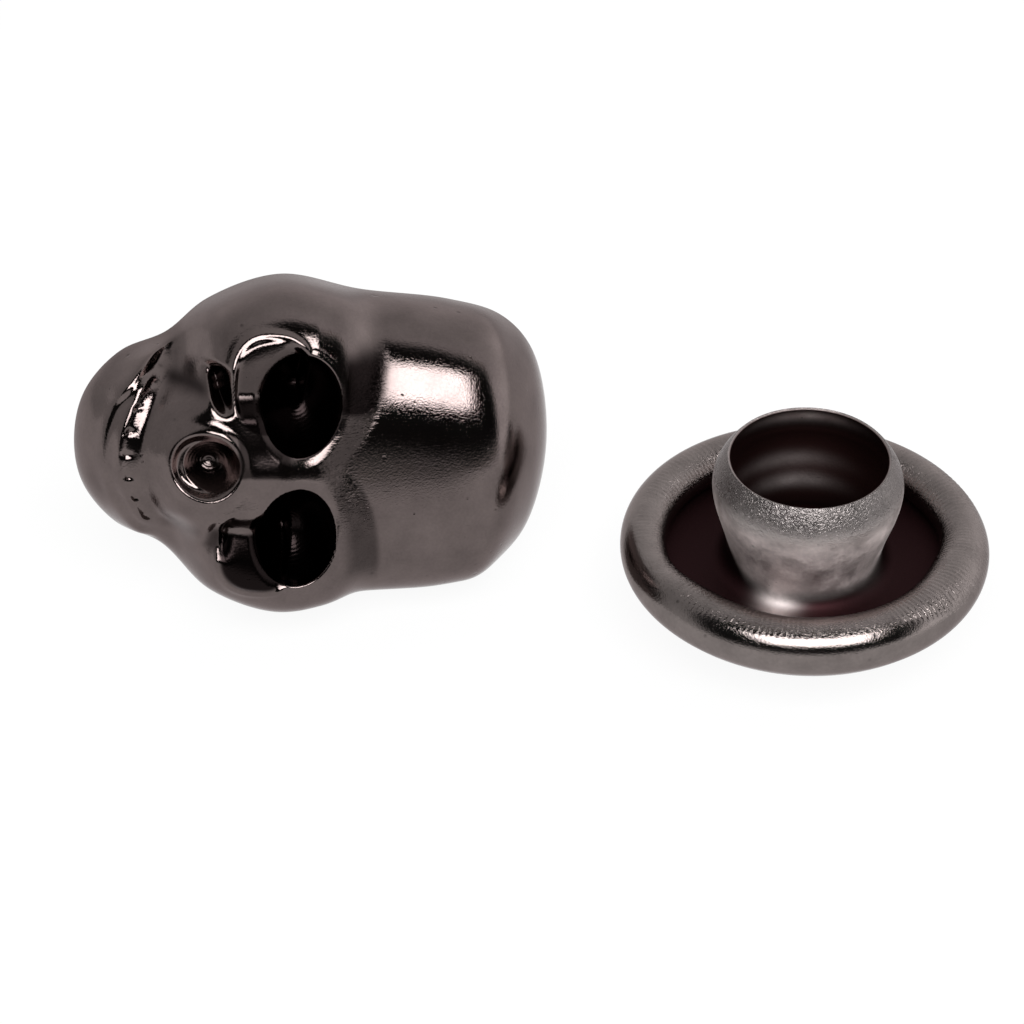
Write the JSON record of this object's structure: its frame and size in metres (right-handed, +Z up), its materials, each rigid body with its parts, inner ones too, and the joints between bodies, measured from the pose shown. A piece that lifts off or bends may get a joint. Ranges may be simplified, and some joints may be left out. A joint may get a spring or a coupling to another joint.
{
  "type": "skull rivet",
  "caption": "Two-part double-cap rivet: a cast skull head with a post at its back, and a domed cap with a curled rim around a barrelled collar.",
  "frame": {"origin": "middle of the underside of the box around both halves, on the surface they lie on", "axes": "+X runs from the skull half to the cap half, +Z is up, and the front of the picture is towards -Y"},
  "size_m": [0.0222, 0.0122, 0.008],
  "materials": {
    "cast_black_nickel": "zinc casting, polished and plated black nickel",
    "drawn_black_nickel": "drawn sheet steel, plated black nickel"
  },
  "bodies": {
    "root": {"skull_head": "cast_black_nickel", "rivet_post": "drawn_black_nickel", "cap_shell": "drawn_black_nickel", "cap_collar": "drawn_black_nickel"}
  },
  "joints": []
}
